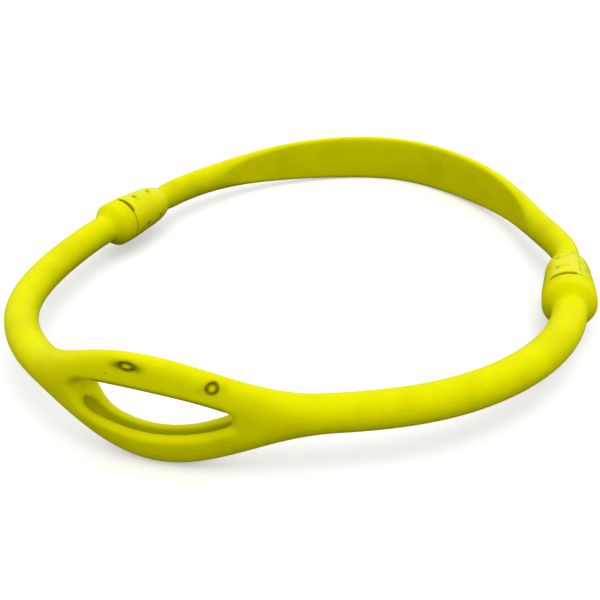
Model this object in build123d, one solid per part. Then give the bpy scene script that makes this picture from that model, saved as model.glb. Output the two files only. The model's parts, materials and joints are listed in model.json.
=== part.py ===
from build123d import *
import os
from math import cos, pi, radians, sin

# Regulator necklace: a closed silicone ring in two straps. The front strap carries a mouthpiece
# loop, the rear strap a flat neck band, and a breakaway coupler joins them on each side.
# +X is the wearer's left, +Y points to the neck band, +Z is up. Millimetres.

# Plan of the centreline in the ring's own plane. The soft ring rests out of true, so the two
# halves differ. Front points run from left to right, rear points from right to left.
LOOP_CENTRE = (-2.4, -73.3)
LEFT_FRONT_POINTS = [(-83.9, 0.0), (-72.7, -43.0), (-40.1, -68.2)]
RIGHT_FRONT_POINTS = [(34.0, -60.8), (69.2, -38.4), (89.3, 0.2)]
RIGHT_REAR_POINTS = [(70.3, 70.4), (52.2, 92.7), (26.6, 112.4)]
BAND_CENTRE = (-5.1, 121.7)
LEFT_REAR_POINTS = [(-34.3, 113.0), (-56.9, 95.3), (-71.9, 73.1)]
COUPLER_POINTS = {-1: (-82.4, 26.7), 1: (87.2, 26.7)}
COUPLER_TOE_IN = {-1: 8.6, 1: 12.4}
STRAIGHT_LEAD = 8.0

# Front strap. Its loop rises above the centreline more than it hangs below it.
STRAP_RADIUS = 5.3
LOOP_RISE = 17.0
LOOP_DROP = 15.1
LOOP_HALF_THICKNESS = 4.8
LOOP_REACH = 46.0
LOOP_SQUARENESS = 2.6
HOLE_TOP = [(-15.5, 8.1), (-2.0, 8.8), (22.0, 3.2)]
HOLE_BOTTOM = [(22.0, -1.2), (-4.0, -6.3), (-16.5, -4.0)]
HOLE_LEFT_END = (-23.5, 2.0)
HOLE_BOUNDS = (26.0, 11.0)
HOLE_CORNER_RADIUS = 1.2
HOLE_EDGE_FILLET = 1.2
BULB_RADIUS = 8.4
BULB_LENGTH = 4.0
BULB_BLEND = 8.0

# Neck band: distance from its middle, half height, half thickness, squareness.
BAND_SECTIONS = [
    (0.0, 9.3, 1.9, 4.0),
    (22.0, 9.3, 1.9, 4.0),
    (40.0, 8.9, 2.1, 3.6),
    (56.0, 7.9, 2.7, 3.0),
    (72.0, 6.5, 3.6, 2.4),
    (86.0, 5.6, 4.2, 2.0),
    (100.0, 5.4, 4.25, 2.0),
]
BAND_END_RADIUS = 4.3
BAND_END_BLEND = 9.0

# Coupler barrel: distances along its axis are measured from the front strap's end face.
RIM_GAP = 0.5
BARREL_LENGTH = 21.0
BARREL_RADIUS = 8.4
BARREL_WAIST_RADIUS = 7.4
BARREL_WAIST = 12.4
BARREL_END_RADIUS = 5.4
RIM_ROUND = 0.5
MOUTH_RADIUS = 5.6
MOUTH_THROAT_RADIUS = 3.9
THROAT = 5.8
BALL_RADIUS = 2.6
BALL_CENTRE = 9.4
BALL_ROOM = 0.5
BALL_CHAMBER_END = 12.6
RING_MAJOR_RADIUS = 3.4
RING_MINOR_RADIUS = 1.2
FLANGE_RADIUS = 4.7
FLANGE_THICKNESS = 2.0
FLANGE_START = 13.8
FLANGE_ROOM = 0.3
NECK_RADIUS = 2.2
NECK_FIT = 0.05
INNER_WALL_END = 18.0
BAND_START = 18.4
BAND_SOCKET_RADIUS = 4.65
SEAM_ANGLE = 20.0
NOTCH_ANGLE = 40.0
NOTCH_POSITIONS = [6.5, 14.2]
NOTCH_RADIUS = 1.0
NOTCH_LENGTH = 9.0
NOTCH_LIFT = 0.35
DOWEL_RADIUS = 0.6
DOWEL_LENGTH = 1.2
DOWEL_ROOM = 0.05
DOWEL_PLACES = [(6.2, 3.0), (3.9, 17.05)]

# Studs moulded into the straps.
STEM_RADIUS = 1.6
COLLAR_RADIUS = 4.5
COLLAR_THICKNESS = 1.5
BARB_COUNT = 3
BARB_PITCH = 3.0
RELEASE_ROOT_RADIUS = 1.9
RELEASE_BARB_RADIUS = 3.0
ANCHOR_ROOT_RADIUS = 1.7
ANCHOR_BARB_RADIUS = 2.5

# Height of the centreline above the floor, where the loop and the band touch down.
FRONT_HEIGHT = LOOP_DROP
REAR_HEIGHT = BAND_SECTIONS[0][1]

SECTION_POINTS = 20
SIDES = {"left": -1, "right": 1}


def smooth(value):
    """Ease from 0 to 1."""
    value = min(max(value, 0.0), 1.0)
    return value * value * (3 - 2 * value)


def coupler_plane(side):
    """Coupler frame: origin at the strap's end face, X up, Z along the barrel to the rear."""
    toe_in = radians(COUPLER_TOE_IN[side])
    return Plane(origin=COUPLER_POINTS[side], x_dir=(0, 0, 1), z_dir=(-side * sin(toe_in), cos(toe_in), 0))


def along_coupler(side, distance, direction=1):
    """Plane across the coupler's axis, facing along it or back."""
    plane = coupler_plane(side).offset(distance)
    return Plane(origin=plane.origin, x_dir=(0, 0, 1), z_dir=plane.z_dir * direction)


def centreline(start, points, end):
    """Curve through the points, with a straight lead along the coupler's axis at each end."""
    leads = (0, STRAIGHT_LEAD / 2, STRAIGHT_LEAD)
    first = [start.offset(lead).origin for lead in leads]
    last = [end.offset(-lead).origin for lead in reversed(leads)]
    return Spline(*first, *points, *last)


def front_route():
    """End planes and centreline of the front strap, from the left coupler to the right one."""
    points = [*LEFT_FRONT_POINTS, LOOP_CENTRE, *RIGHT_FRONT_POINTS]
    start = along_coupler(-1, 0, -1)
    end = along_coupler(1, 0)
    return start, centreline(start, points, end), end


def rear_route():
    """End planes and centreline of the neck band, from the right coupler to the left one."""
    points = [*RIGHT_REAR_POINTS, BAND_CENTRE, *LEFT_REAR_POINTS]
    start = along_coupler(1, BAND_START)
    end = along_coupler(-1, BAND_START, -1)
    return start, centreline(start, points, end), end


def plane_across(route, distance):
    """Upright plane across a route at a distance along it."""
    start, path, end = route
    if distance <= STRAIGHT_LEAD:
        return start.offset(distance)
    if distance >= path.length - STRAIGHT_LEAD:
        return end.offset(distance - path.length)
    place = distance / path.length
    return Plane(origin=path @ place, x_dir=(0, 0, 1), z_dir=path % place)


def section(plane, rise, drop, half_thickness, squareness):
    """Rounded closed section, from a rise above the plane's origin to a drop below it."""
    points = []
    for index in range(SECTION_POINTS):
        angle = 2 * pi * index / SECTION_POINTS
        up = abs(cos(angle)) ** (2 / squareness) * (1 if cos(angle) >= 0 else -1)
        out = abs(sin(angle)) ** (2 / squareness) * (1 if sin(angle) >= 0 else -1)
        points.append(((rise - drop) / 2 + (rise + drop) / 2 * up, half_thickness * out))
    return plane * make_face(Spline(*points, periodic=True))


def front_size(distance, middle, length):
    """Rise, drop, half thickness and squareness of the front strap."""
    from_middle = abs(distance - middle)
    from_end = min(distance, length - distance)
    loop = (1 + cos(pi * min(from_middle / LOOP_REACH, 1.0))) / 2
    bulb = smooth((BULB_LENGTH + BULB_BLEND - from_end) / BULB_BLEND)
    grown = (BULB_RADIUS - STRAP_RADIUS) * bulb
    rise = STRAP_RADIUS + (LOOP_RISE - STRAP_RADIUS) * loop + grown
    drop = STRAP_RADIUS + (LOOP_DROP - STRAP_RADIUS) * loop + grown
    thickness = STRAP_RADIUS + (LOOP_HALF_THICKNESS - STRAP_RADIUS) * loop + grown
    return rise, drop, thickness, 2 + (LOOP_SQUARENESS - 2) * loop


def band_size(distance, middle, length):
    """Rise, drop, half thickness and squareness of the neck band."""
    from_middle = abs(distance - middle)
    from_end = min(distance, length - distance)
    size = BAND_SECTIONS[-1][1:]
    for near, far in zip(BAND_SECTIONS, BAND_SECTIONS[1:]):
        if near[0] <= from_middle < far[0]:
            share = (from_middle - near[0]) / (far[0] - near[0])
            size = [a + (b - a) * share for a, b in zip(near[1:], far[1:])]
    ending = smooth(1 - from_end / BAND_END_BLEND)
    height = size[0] + (BAND_END_RADIUS - size[0]) * ending
    thickness = size[1] + (BAND_END_RADIUS - size[1]) * ending
    return height, height, thickness, size[2]


def strap(route, sizes, middle, from_end, from_middle):
    """Loft through sections at places measured from both ends and from the strap's middle."""
    length = route[1].length
    stations = from_end + [middle - offset for offset in reversed(from_middle)] + [middle]
    stations += [middle + offset for offset in from_middle]
    stations += [length - place for place in reversed(from_end)]
    return loft([section(plane_across(route, place), *sizes(place, middle, length)) for place in stations])


def loop_plane():
    """Plane of the loop's hole: X along the strap, Z outwards."""
    path = front_route()[1]
    along = path % path.param_at_point(LOOP_CENTRE)
    return Plane(origin=LOOP_CENTRE, x_dir=along, z_dir=(along.Y, -along.X, 0))


def mouthpiece_hole():
    """Drop-shaped hole through the loop: blunt at its left end, narrow at its right end."""
    outline = [
        ThreePointArc(*HOLE_TOP),
        Line(HOLE_TOP[-1], HOLE_BOTTOM[0]),
        ThreePointArc(*HOLE_BOTTOM),
        ThreePointArc(HOLE_BOTTOM[-1], HOLE_LEFT_END, HOLE_TOP[0]),
    ]
    drop = make_face(outline)
    corners = drop.vertices().sort_by(Axis.X)[-2:]
    drop = fillet(corners, HOLE_CORNER_RADIUS)
    return extrude(loop_plane() * drop, 3 * LOOP_HALF_THICKNESS, both=True)


def make_front_strap():
    route = front_route()
    path = route[1]
    middle = path.length * path.param_at_point(LOOP_CENTRE)
    ends = [0, 2, BULB_LENGTH, 6, 8, 10, BULB_LENGTH + BULB_BLEND, 16, 24, 40, 56, 72, 86]
    body = strap(route, front_size, middle, ends, [8, 16, 24, 32, 39, 46]) - mouthpiece_hole()
    edges = body.edges().filter_by(is_hole_edge)
    return fillet(edges, HOLE_EDGE_FILLET)


def is_hole_edge(edge):
    """True for the rim of the mouthpiece hole on the loop's two faces."""
    middle = edge @ 0.5 - Vector(*LOOP_CENTRE)
    beyond = abs(middle.X) > HOLE_BOUNDS[0] or abs(middle.Z) > HOLE_BOUNDS[1]
    return not beyond and abs((edge @ 0).Y - (edge @ 1).Y) < LOOP_HALF_THICKNESS


def make_neck_band():
    route = rear_route()
    ends = [0, 3, 6, 9, 16, 26]
    return strap(route, band_size, route[1].length / 2, ends, [14, 28, 40, 50, 60, 70, 80])


def turned(points):
    """Solid of revolution about Z from a profile of (radius, distance) points."""
    profile = Plane.XZ * make_face(Polyline(*points, close=True))
    return revolve(profile, Axis.Z)


def barrel_outside():
    """Tapered barrel with a rounded rim and an ogive shoulder at the rear."""
    taper = Vector(BARREL_WAIST_RADIUS - BARREL_RADIUS, BARREL_WAIST - RIM_GAP - RIM_ROUND, 0)
    rim = RIM_GAP + RIM_ROUND
    outline = [
        Line((0, RIM_GAP), (BARREL_RADIUS - RIM_ROUND, RIM_GAP)),
        TangentArc((BARREL_RADIUS - RIM_ROUND, RIM_GAP), (BARREL_RADIUS, rim), tangent=(1, 0)),
        Line((BARREL_RADIUS, rim), (BARREL_WAIST_RADIUS, BARREL_WAIST)),
        TangentArc((BARREL_WAIST_RADIUS, BARREL_WAIST), (BARREL_END_RADIUS, BARREL_LENGTH), tangent=taper),
        Line((BARREL_END_RADIUS, BARREL_LENGTH), (0, BARREL_LENGTH)),
        Line((0, BARREL_LENGTH), (0, RIM_GAP)),
    ]
    return revolve(Plane.XZ * make_face(outline), Axis.Z)


def barrel_inside():
    """Coned mouth, ring groove and ball chamber in front; flange chamber and socket behind."""
    ring_start = THROAT
    ring_end = THROAT + 2 * RING_MINOR_RADIUS
    ring_outside = RING_MAJOR_RADIUS + RING_MINOR_RADIUS
    chamber = BALL_RADIUS + BALL_ROOM
    front = turned([
        (0, 0),
        (MOUTH_RADIUS, 0),
        (MOUTH_RADIUS, RIM_GAP),
        (MOUTH_THROAT_RADIUS, ring_start),
        (ring_outside, ring_start),
        (ring_outside, ring_end),
        (chamber, ring_end),
        (chamber, BALL_CHAMBER_END),
        (0, BALL_CHAMBER_END),
    ])
    flange = FLANGE_RADIUS + FLANGE_ROOM
    flange_start = FLANGE_START - FLANGE_ROOM
    flange_end = FLANGE_START + FLANGE_THICKNESS + FLANGE_ROOM
    neck = NECK_RADIUS + NECK_FIT
    rear = turned([
        (0, flange_start),
        (flange, flange_start),
        (flange, flange_end),
        (neck, flange_end),
        (neck, INNER_WALL_END),
        (BAND_SOCKET_RADIUS, INNER_WALL_END),
        (BAND_SOCKET_RADIUS, BARREL_LENGTH + 1),
        (0, BARREL_LENGTH + 1),
    ])
    return front, rear


def barrel_radius(distance):
    share = (distance - RIM_GAP) / (BARREL_WAIST - RIM_GAP)
    return BARREL_RADIUS + (BARREL_WAIST_RADIUS - BARREL_RADIUS) * min(share, 1.0)


def grip_notches(side):
    """Transverse lens-shaped grips in rows either side of the seam, above and below."""
    cutters = []
    for row in (-NOTCH_ANGLE, NOTCH_ANGLE, 180 - NOTCH_ANGLE, 180 + NOTCH_ANGLE):
        for distance in NOTCH_POSITIONS:
            lift = barrel_radius(distance) + NOTCH_LIFT
            bar = Rot(X=90) * Cylinder(NOTCH_RADIUS, NOTCH_LENGTH)
            cutters.append(Rot(Z=side * (SEAM_ANGLE + row)) * Pos(lift, 0, distance) * bar)
    return cutters


def dowels(side, radius, length):
    """Pegs across the seam, at both edges of a half shell."""
    pegs = []
    for reach, distance in DOWEL_PLACES:
        for edge in (-1, 1):
            peg = Rot(X=90) * Cylinder(radius, 2 * length)
            pegs.append(Rot(Z=side * SEAM_ANGLE) * Pos(edge * reach, 0, distance) * peg)
    return pegs


def coupler_shells(side):
    """The barrel's outer and inner halves, split on the seam plane and keyed by dowels."""
    barrel = barrel_outside() - list(barrel_inside()) - grip_notches(side)
    lean = radians(SEAM_ANGLE)
    seam = Plane(origin=(0, 0, 0), z_dir=(-sin(lean), side * cos(lean), 0))
    outer = split(barrel, seam, keep=Keep.TOP)
    inner = split(barrel, seam, keep=Keep.BOTTOM)
    outer = outer + dowels(side, DOWEL_RADIUS, DOWEL_LENGTH)
    inner = inner - dowels(side, DOWEL_RADIUS + DOWEL_ROOM, DOWEL_LENGTH + DOWEL_ROOM)
    return outer, inner


def barbed_root(start, direction, root, barb):
    """Profile points of a barbed root, from its tip back to the start."""
    points = []
    for index in range(BARB_COUNT, 0, -1):
        far = start + direction * BARB_PITCH * index
        near = start + direction * BARB_PITCH * (index - 0.5)
        points += [(root, far), (barb, near), (root, near)]
    return points


def make_release_stud():
    """Ball-headed stud moulded into the front strap's bulb."""
    tip = -COLLAR_THICKNESS - BARB_COUNT * BARB_PITCH
    points = [(0, tip), *barbed_root(-COLLAR_THICKNESS, -1, RELEASE_ROOT_RADIUS, RELEASE_BARB_RADIUS)]
    points += [(RELEASE_ROOT_RADIUS, -COLLAR_THICKNESS), (COLLAR_RADIUS, -COLLAR_THICKNESS)]
    points += [(COLLAR_RADIUS, 0), (STEM_RADIUS, 0), (STEM_RADIUS, BALL_CENTRE), (0, BALL_CENTRE)]
    return turned(points) + Pos(0, 0, BALL_CENTRE) * Sphere(BALL_RADIUS)


def make_anchor_stud():
    """Flanged stud moulded into the neck band's end and trapped in the barrel."""
    tip = BAND_START + BARB_COUNT * BARB_PITCH
    flange_end = FLANGE_START + FLANGE_THICKNESS
    points = [(0, tip), *barbed_root(BAND_START, 1, ANCHOR_ROOT_RADIUS, ANCHOR_BARB_RADIUS)]
    points += [(ANCHOR_ROOT_RADIUS, BAND_START), (NECK_RADIUS, BAND_START), (NECK_RADIUS, flange_end)]
    points += [(FLANGE_RADIUS, flange_end), (FLANGE_RADIUS, FLANGE_START), (0, FLANGE_START)]
    return turned(points)


def make_retaining_ring():
    return Pos(0, 0, THROAT + RING_MINOR_RADIUS) * Torus(RING_MAJOR_RADIUS, RING_MINOR_RADIUS)


def coupler_parts(side):
    """Every piece on one side that is turned about the coupler's axis."""
    outer, inner = coupler_shells(side)
    pieces = {
        "coupler_outer_shell": outer,
        "coupler_inner_shell": inner,
        "release_stud": make_release_stud(),
        "anchor_stud": make_anchor_stud(),
        "retaining_ring": make_retaining_ring(),
    }
    location = coupler_plane(side).location
    return {name: location * piece for name, piece in pieces.items()}


def assemble():
    """All pieces by node name, lying in the ring's own plane."""
    nodes = {"front_strap": make_front_strap(), "neck_band": make_neck_band()}
    for name, side in SIDES.items():
        pieces = coupler_parts(side)
        nodes["front_strap"] = nodes["front_strap"] - pieces["release_stud"]
        nodes["neck_band"] = nodes["neck_band"] - pieces["anchor_stud"]
        nodes.update({f"{name}_{piece}": shape for piece, shape in pieces.items()})
    return nodes


def resting_location(nodes):
    """Tilt the ring onto the loop's and the band's lower edges and centre it on the origin."""
    run = BAND_CENTRE[1] - LOOP_CENTRE[1]
    tilt = Rot(X=-180 / pi * (FRONT_HEIGHT - REAR_HEIGHT) / run)
    box = Compound(children=[tilt * shape for shape in nodes.values()]).bounding_box()
    centre = box.center()
    return Pos(-centre.X, -centre.Y, -box.min.Z) * tilt


def main():
    nodes = assemble()
    rest = resting_location(nodes)
    os.makedirs("parts", exist_ok=True)
    for name, shape in nodes.items():
        export_step(rest * shape, f"parts/{name}.step")
    for name, side in SIDES.items():
        plane = Plane(rest * coupler_plane(side).location)
        print(name, "coupler axis from", plane.origin, "along", plane.z_dir)
    loop = rest * Pos(*LOOP_CENTRE)
    print("loop centre", loop.position)


main()
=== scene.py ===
"""Regulator necklace: two silicone straps joined by a breakaway coupler on each side.

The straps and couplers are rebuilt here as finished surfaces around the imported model. Straps are
shaped in a straightened space (u along the centreline, w outwards, z up, millimetres) and then
bent onto the ring's centreline.
"""
from __future__ import annotations

import json
import logging
import math
from dataclasses import dataclass, field
from enum import Enum
from typing import Callable, Sequence

import bpy
import numpy as np
from mathutils import Matrix, Vector

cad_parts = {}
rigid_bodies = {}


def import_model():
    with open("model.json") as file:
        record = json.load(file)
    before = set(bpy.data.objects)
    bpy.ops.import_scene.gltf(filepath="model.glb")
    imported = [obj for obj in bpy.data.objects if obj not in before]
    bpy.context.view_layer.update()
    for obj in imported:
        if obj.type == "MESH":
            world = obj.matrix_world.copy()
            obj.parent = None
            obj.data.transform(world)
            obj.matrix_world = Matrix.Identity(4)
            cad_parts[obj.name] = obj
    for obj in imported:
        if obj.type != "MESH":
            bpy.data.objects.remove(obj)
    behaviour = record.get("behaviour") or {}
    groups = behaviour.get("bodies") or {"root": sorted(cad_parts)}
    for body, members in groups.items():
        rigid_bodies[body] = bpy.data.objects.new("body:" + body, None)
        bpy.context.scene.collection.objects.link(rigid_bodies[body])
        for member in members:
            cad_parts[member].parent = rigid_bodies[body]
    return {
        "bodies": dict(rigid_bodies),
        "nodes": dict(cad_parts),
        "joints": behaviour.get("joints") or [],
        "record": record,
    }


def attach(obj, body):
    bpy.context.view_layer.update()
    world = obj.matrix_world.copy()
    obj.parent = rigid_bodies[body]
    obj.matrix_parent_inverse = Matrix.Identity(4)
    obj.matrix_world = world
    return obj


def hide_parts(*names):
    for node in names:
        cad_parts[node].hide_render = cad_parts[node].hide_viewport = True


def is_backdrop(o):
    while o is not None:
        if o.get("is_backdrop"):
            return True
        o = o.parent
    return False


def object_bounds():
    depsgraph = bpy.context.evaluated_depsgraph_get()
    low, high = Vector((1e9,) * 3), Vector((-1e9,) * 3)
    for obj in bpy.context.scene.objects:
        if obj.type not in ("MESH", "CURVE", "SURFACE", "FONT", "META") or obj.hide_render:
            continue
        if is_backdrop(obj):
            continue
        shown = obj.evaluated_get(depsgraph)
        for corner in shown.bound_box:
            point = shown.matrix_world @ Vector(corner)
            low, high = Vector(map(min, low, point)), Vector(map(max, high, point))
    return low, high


LOG = logging.getLogger("necklace")
MM = 0.001
UP = np.array([0.0, 0.0, 1.0])

Field = Callable[[np.ndarray, np.ndarray, np.ndarray], np.ndarray]


class Side(Enum):
    """Which side of the ring a coupler is on, by the sign of its X."""

    LEFT = -1
    RIGHT = 1

    @property
    def word(self) -> str:
        """Name used in node and body names."""
        return self.name.lower()


class Slot(Enum):
    """Material slots of the record."""

    SILICONE = "silicone"
    SHELL = "coupler_plastic"
    STUD = "stud_plastic"
    RING = "retaining_rubber"


# ------------------------------------------------------------------ field and mesh helpers


def smooth_max(a: np.ndarray, b: np.ndarray, reach: float) -> np.ndarray:
    """Larger of two distances, rounded over a reach where they meet."""
    blend = np.maximum(reach - np.abs(a - b), 0.0) / reach
    return np.maximum(a, b) + blend * blend * reach / 4


def ease(value: np.ndarray) -> np.ndarray:
    """Smooth step from 0 to 1."""
    value = np.clip(value, 0.0, 1.0)
    return value * value * (3 - 2 * value)


def oval(across: np.ndarray, up: np.ndarray, half_across: np.ndarray, half_up: np.ndarray,
         squareness: np.ndarray) -> np.ndarray:
    """Distance to a superellipse section, true to first order.

    Args:
        across: Coordinate along the section's width.
        up: Coordinate along its height.
        half_across: Half width.
        half_up: Half height.
        squareness: Exponent, 2 for an ellipse.

    Returns:
        Signed distance, negative inside.
    """
    x = np.abs(across) / half_across + 1e-6
    y = np.abs(up) / half_up + 1e-6
    level = (x**squareness + y**squareness) ** (1 / squareness)
    slope_x = (x / level) ** (squareness - 1) / half_across
    slope_y = (y / level) ** (squareness - 1) / half_up
    return (level - 1) / np.sqrt(slope_x**2 + slope_y**2)


def polygonise(shape: Field, low: Sequence[float], high: Sequence[float], step: float
               ) -> tuple[np.ndarray, np.ndarray]:
    """Quad mesh of the surface where a field is zero, one vertex in each crossed cell.

    Args:
        shape: Signed distance field, negative inside.
        low: Lowest corner of the sampled box.
        high: Highest corner.
        step: Cell size.

    Returns:
        Vertices on the surface and quads that face outwards.
    """
    axes = [np.arange(low[a], high[a] + step, step) for a in range(3)]
    values = shape(*np.meshgrid(*axes, indexing="ij"))
    inside = values < 0
    cells = tuple(n - 1 for n in values.shape)
    count = np.zeros(cells)
    total = np.zeros(cells + (3,))
    crossings = []
    for axis in range(3):
        first = [slice(None)] * 3
        second = [slice(None)] * 3
        first[axis] = slice(0, -1)
        second[axis] = slice(1, None)
        near, far = values[tuple(first)], values[tuple(second)]
        crossed = inside[tuple(first)] != inside[tuple(second)]
        share = np.where(crossed, near / np.where(crossed, near - far, 1.0), 0.0)
        a, b = (axis + 1) % 3, (axis + 2) % 3
        for step_a in (0, 1):
            for step_b in (0, 1):
                part = [slice(None)] * 3
                part[a] = slice(step_a, step_a + cells[a])
                part[b] = slice(step_b, step_b + cells[b])
                hit = crossed[tuple(part)]
                count += hit
                total[..., axis] += share[tuple(part)]
                total[..., a] += step_a * hit
                total[..., b] += step_b * hit
        crossings.append((axis, a, b, crossed, inside[tuple(first)]))
    used = count > 0
    numbers = np.full(cells, -1)
    numbers[used] = np.arange(used.sum())
    vertices = (np.argwhere(used) + total[used] / count[used][:, None]) * step + np.asarray(low)
    quads = [_crossing_quads(numbers, cells, *crossing) for crossing in crossings]
    return _settle(shape, vertices, step), np.concatenate(quads)


def _crossing_quads(numbers: np.ndarray, cells: tuple[int, ...], axis: int, a: int, b: int,
                    crossed: np.ndarray, outward: np.ndarray) -> np.ndarray:
    """Quads round every crossed grid edge that runs along one axis."""
    edges = np.argwhere(crossed)
    keep = (edges[:, a] > 0) & (edges[:, b] > 0) & (edges[:, a] < cells[a]) & (edges[:, b] < cells[b])
    edges = edges[keep]
    corners = []
    for step_a, step_b in ((1, 1), (0, 1), (0, 0), (1, 0)):
        cell = edges.copy()
        cell[:, a] -= step_a
        cell[:, b] -= step_b
        corners.append(numbers[tuple(cell.T)])
    quads = np.stack(corners, axis=1)
    flip = ~outward[tuple(edges.T)]
    quads[flip] = quads[flip][:, ::-1]
    return quads


def _settle(shape: Field, points: np.ndarray, step: float) -> np.ndarray:
    """Move points onto the field's zero surface along its gradient."""
    probe = 0.04 * step
    for _ in range(5):
        value = shape(*points.T)
        slope = np.stack([
            (shape(*(points + probe * axis).T) - shape(*(points - probe * axis).T)) / (2 * probe)
            for axis in np.eye(3)], axis=1)
        move = value[:, None] * slope / np.maximum((slope**2).sum(axis=1), 0.05)[:, None]
        length = np.linalg.norm(move, axis=1)
        points = points - move * np.minimum(1.0, 0.5 * step / np.maximum(length, 1e-9))[:, None]
    return points


def make_object(name: str, vertices: np.ndarray, faces: Sequence[Sequence[int]]) -> bpy.types.Object:
    """Smooth-shaded mesh object with its place in its mesh.

    Args:
        name: Object name.
        vertices: Points in metres in the row frame.
        faces: Vertex numbers of each face.

    Returns:
        The new object, linked to the scene.
    """
    mesh = bpy.data.meshes.new(name)
    mesh.from_pydata(np.asarray(vertices).tolist(), [], [list(map(int, face)) for face in faces])
    mesh.validate()
    mesh.polygons.foreach_set("use_smooth", [True] * len(mesh.polygons))
    mesh.update()
    built = bpy.data.objects.new(name, mesh)
    bpy.context.scene.collection.objects.link(built)
    return built


# ------------------------------------------------------------------ the ring's centreline


@dataclass
class CouplerPlace:
    """Frame of one coupler: origin at the front strap's end face, Z along the barrel."""

    side: Side
    origin: np.ndarray
    axis: np.ndarray

    @property
    def matrix(self) -> np.ndarray:
        """Columns are the coupler's X (up), Y (across) and Z (along) in the row frame."""
        up = UP - self.axis * self.axis.dot(UP)
        up = up / np.linalg.norm(up)
        return np.stack([up, np.cross(self.axis, up), self.axis], axis=1)

    def place(self, points: np.ndarray) -> np.ndarray:
        """Points in the coupler's millimetres brought to the row frame in metres."""
        return self.origin + (points * MM) @ self.matrix.T


@dataclass
class Ring:
    """Plan of the ring, the tilt it rests at and the couplers' frames.

    The plan is in the ring's own plane, in millimetres, and is tied to the row frame by the two
    coupler joints.
    """

    frame: dict
    left_front: tuple = ((-83.9, 0.0), (-72.7, -43.0), (-40.1, -68.2))
    loop_centre: tuple[float, float] = (-2.4, -73.3)
    right_front: tuple = ((34.0, -60.8), (69.2, -38.4), (89.3, 0.2))
    right_rear: tuple = ((70.3, 70.4), (52.2, 92.7), (26.6, 112.4))
    band_centre: tuple[float, float] = (-5.1, 121.7)
    left_rear: tuple = ((-34.3, 113.0), (-56.9, 95.3), (-71.9, 73.1))
    left_coupler: tuple[float, float, float] = (-82.4, 26.7, 8.6)
    right_coupler: tuple[float, float, float] = (87.2, 26.7, 12.4)
    straight_lead: float = 8.0
    band_start: float = 18.4
    couplers: dict = field(init=False)
    tilt: np.ndarray = field(init=False)
    shift: np.ndarray = field(init=False)

    def __post_init__(self) -> None:
        """Find the couplers' frames and the tilt from the swivel joints."""
        joints = {joint["name"]: joint for joint in self.frame["joints"]}
        self.couplers = {}
        for side in Side:
            joint = joints[f"{side.word}_coupler_swivel"]
            axis = np.array(joint["axis"], dtype=float)
            origin = np.array(joint["pos_m"], dtype=float)
            self.couplers[side] = CouplerPlace(side, origin, axis / np.linalg.norm(axis))
        axis = self.couplers[Side.RIGHT].axis
        lean = math.atan2(-axis[2], axis[1])
        self.tilt = np.array(Matrix.Rotation(-lean, 3, "X"))
        rim = np.array([*self.right_coupler[:2], 0.0])
        self.shift = self.couplers[Side.RIGHT].origin / MM - self.tilt @ rim

    def coupler_point(self, side: Side, distance: float) -> np.ndarray:
        """Plan point on a coupler's axis."""
        x, y, toe_in = self.left_coupler if side is Side.LEFT else self.right_coupler
        lean = math.radians(toe_in)
        return np.array([x - side.value * math.sin(lean) * distance, y + math.cos(lean) * distance])

    def front(self) -> Route:
        """Centreline of the front strap, from the left coupler to the right one."""
        lead = self.straight_lead
        points = [self.coupler_point(Side.LEFT, -lead * share) for share in (0, 0.5, 1)]
        points += [*self.left_front, self.loop_centre, *self.right_front]
        points += [self.coupler_point(Side.RIGHT, -lead * share) for share in (1, 0.5, 0)]
        return Route(self, np.array(points))

    def rear(self) -> Route:
        """Centreline of the neck band, from the right coupler to the left one."""
        start, lead = self.band_start, self.straight_lead
        points = [self.coupler_point(Side.RIGHT, start + lead * share) for share in (0, 0.5, 1)]
        points += [*self.right_rear, self.band_centre, *self.left_rear]
        points += [self.coupler_point(Side.LEFT, start + lead * share) for share in (1, 0.5, 0)]
        return Route(self, np.array(points))

    def to_row(self, plan: np.ndarray, height: np.ndarray) -> np.ndarray:
        """Plan points and heights above the ring's plane, as metres in the row frame."""
        points = np.concatenate([plan, np.reshape(height, (-1, 1))], axis=1)
        return (points @ self.tilt.T + self.shift) * MM


class Route:
    """A smooth centreline through plan points, measured by distance along it."""

    def __init__(self, ring: Ring, points: np.ndarray, samples: int = 1200) -> None:
        """Fit the curve and tabulate it by arc length.

        Args:
            ring: The ring that the route belongs to.
            points: Plan points in millimetres.
            samples: How finely the curve is tabulated.
        """
        self.ring = ring
        knots = np.concatenate([[0.0], np.cumsum(np.linalg.norm(np.diff(points, axis=0), axis=1))])
        fine = np.linspace(0.0, knots[-1], samples)
        curve = np.stack([_natural_spline(knots, points[:, a], fine) for a in range(2)], axis=1)
        steps = np.linalg.norm(np.diff(curve, axis=0), axis=1)
        self.along = np.concatenate([[0.0], np.cumsum(steps)])
        self.curve = curve
        self.length = float(self.along[-1])
        tangent = np.gradient(curve, self.along, axis=0)
        self.tangent = tangent / np.linalg.norm(tangent, axis=1)[:, None]

    def nearest(self, point: Sequence[float]) -> float:
        """Distance along the route to its nearest place to a plan point."""
        return float(self.along[np.argmin(np.linalg.norm(self.curve - np.array(point), axis=1))])

    def at(self, distance: np.ndarray) -> tuple[np.ndarray, np.ndarray]:
        """Plan points and outward directions at distances along the route."""
        point = np.stack([np.interp(distance, self.along, self.curve[:, a]) for a in range(2)], axis=1)
        tangent = np.stack([np.interp(distance, self.along, self.tangent[:, a]) for a in range(2)], axis=1)
        tangent = tangent / np.linalg.norm(tangent, axis=1)[:, None]
        return point, np.stack([tangent[:, 1], -tangent[:, 0]], axis=1)

    def bend(self, straight: np.ndarray) -> np.ndarray:
        """Points (u from the start, w outwards, z up) bent onto the ring, as row metres."""
        point, outward = self.at(straight[:, 0])
        return self.ring.to_row(point + outward * straight[:, 1:2], straight[:, 2])


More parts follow.
